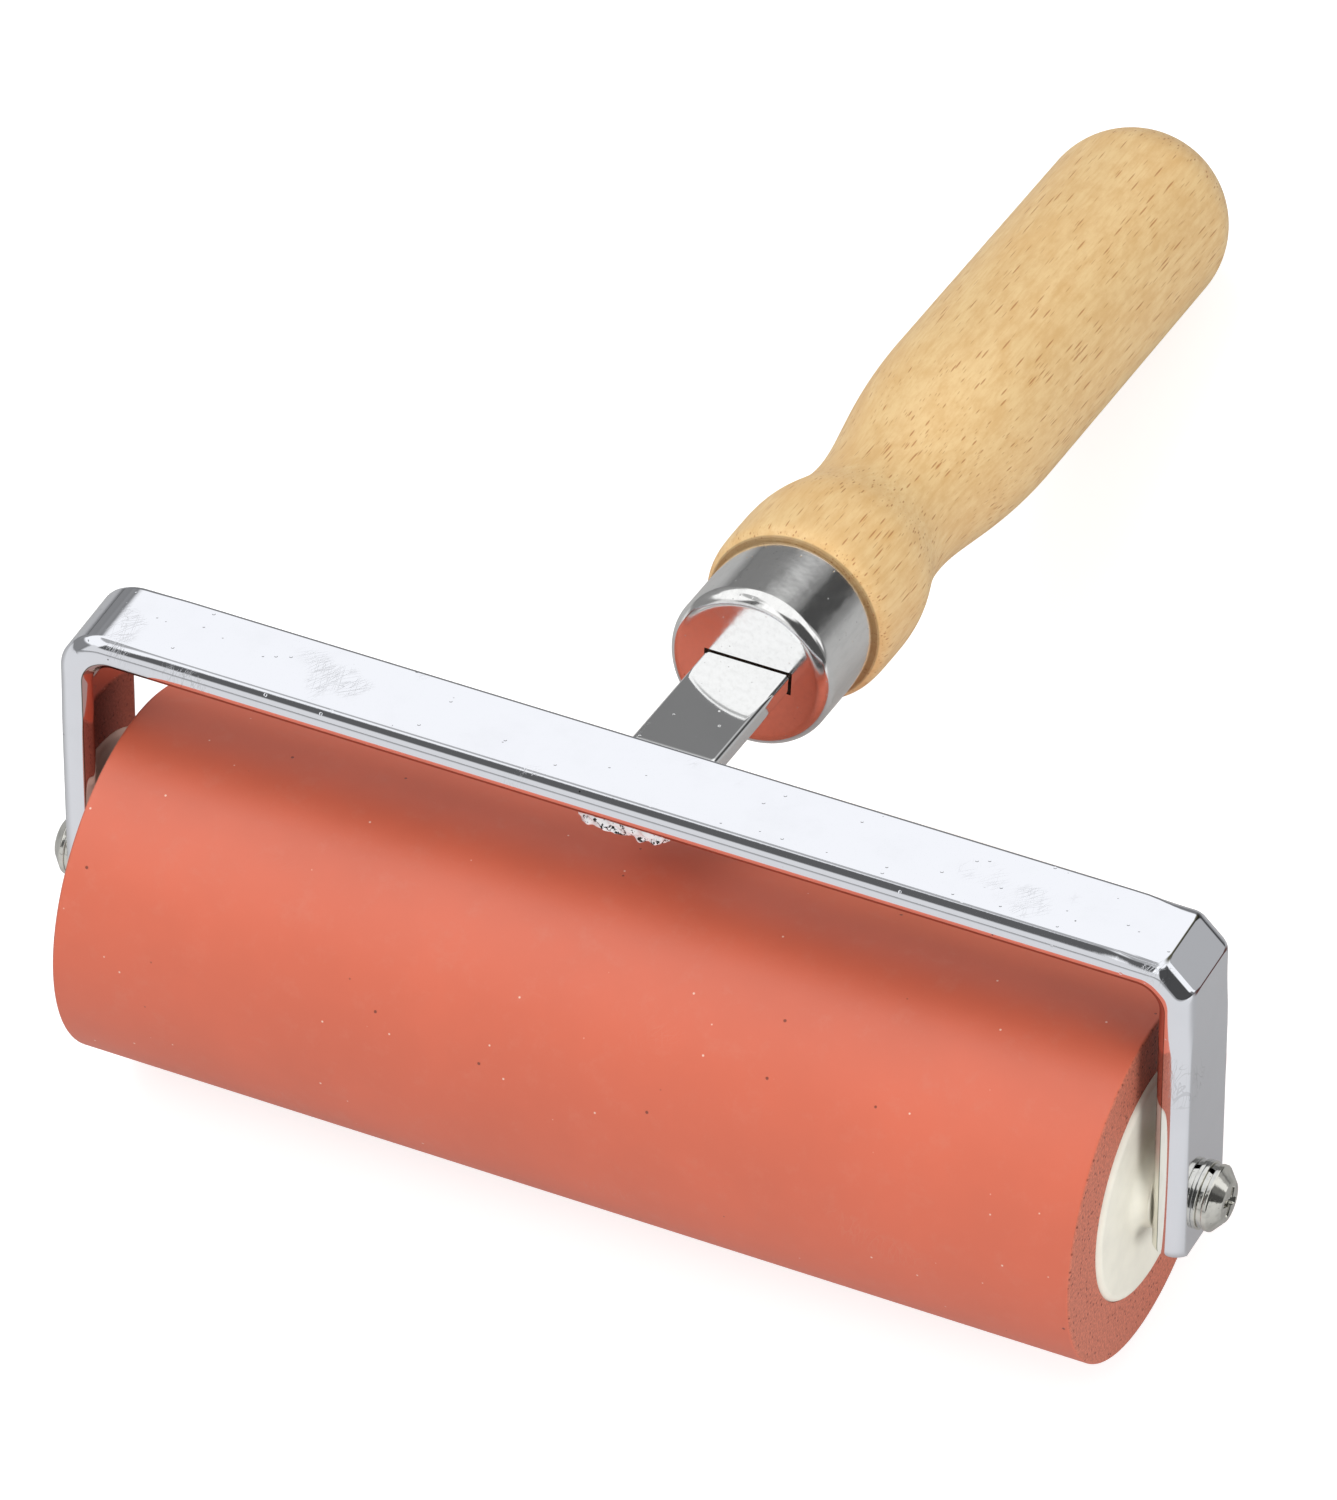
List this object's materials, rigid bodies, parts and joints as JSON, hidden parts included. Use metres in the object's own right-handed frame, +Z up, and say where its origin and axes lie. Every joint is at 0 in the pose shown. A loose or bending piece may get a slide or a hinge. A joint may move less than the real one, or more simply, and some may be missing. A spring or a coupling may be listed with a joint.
{
  "type": "rubber brayer",
  "caption": "Hand brayer: a rubber roller on plastic hubs spins on a steel axle in a bent chromed fork, with a tang, a ferrule and a turned wooden handle.",
  "frame": {"origin": "on the bench, under the middle of the roller, on the line where the rubber touches the bench", "axes": "+X along the axle, +Y back towards the handle, +Z up; the brayer stands on its roller and on the round end of its handle"},
  "size_m": [0.1744, 0.203, 0.0695],
  "materials": {
    "red_rubber": "matte moulded rubber, ground at the ends",
    "cream_plastic": "moulded nylon, slight sheen",
    "core_steel": "drawn, bare",
    "chromed_steel": "bright chrome with fine scratches",
    "weld_metal": "chromed over a rough weld bead",
    "ferrule_metal": "bright plate with light wear",
    "beech": "turned beech, clear lacquer",
    "screw_metal": "zinc-nickel plated"
  },
  "bodies": {
    "frame": {"frame_bar": "chromed_steel", "tang": "chromed_steel", "weld_front": "weld_metal", "weld_rear": "weld_metal", "ferrule": "ferrule_metal", "handle": "beech", "axle_rod": "core_steel", "screw_left": "screw_metal", "screw_right": "screw_metal", "lock_washer_left": "screw_metal", "lock_washer_right": "screw_metal", "plain_washer_left": "screw_metal", "plain_washer_right": "screw_metal"},
    "roller": {"rubber_sleeve": "red_rubber", "core_tube": "core_steel", "hub_left": "cream_plastic", "hub_right": "cream_plastic"}
  },
  "joints": [
    {"name": "roller_spin", "type": "hinge", "parent": "frame", "child": "roller", "pos_m": [0, 0, 0.026], "axis": [1, 0, 0], "continuous": true}
  ]
}
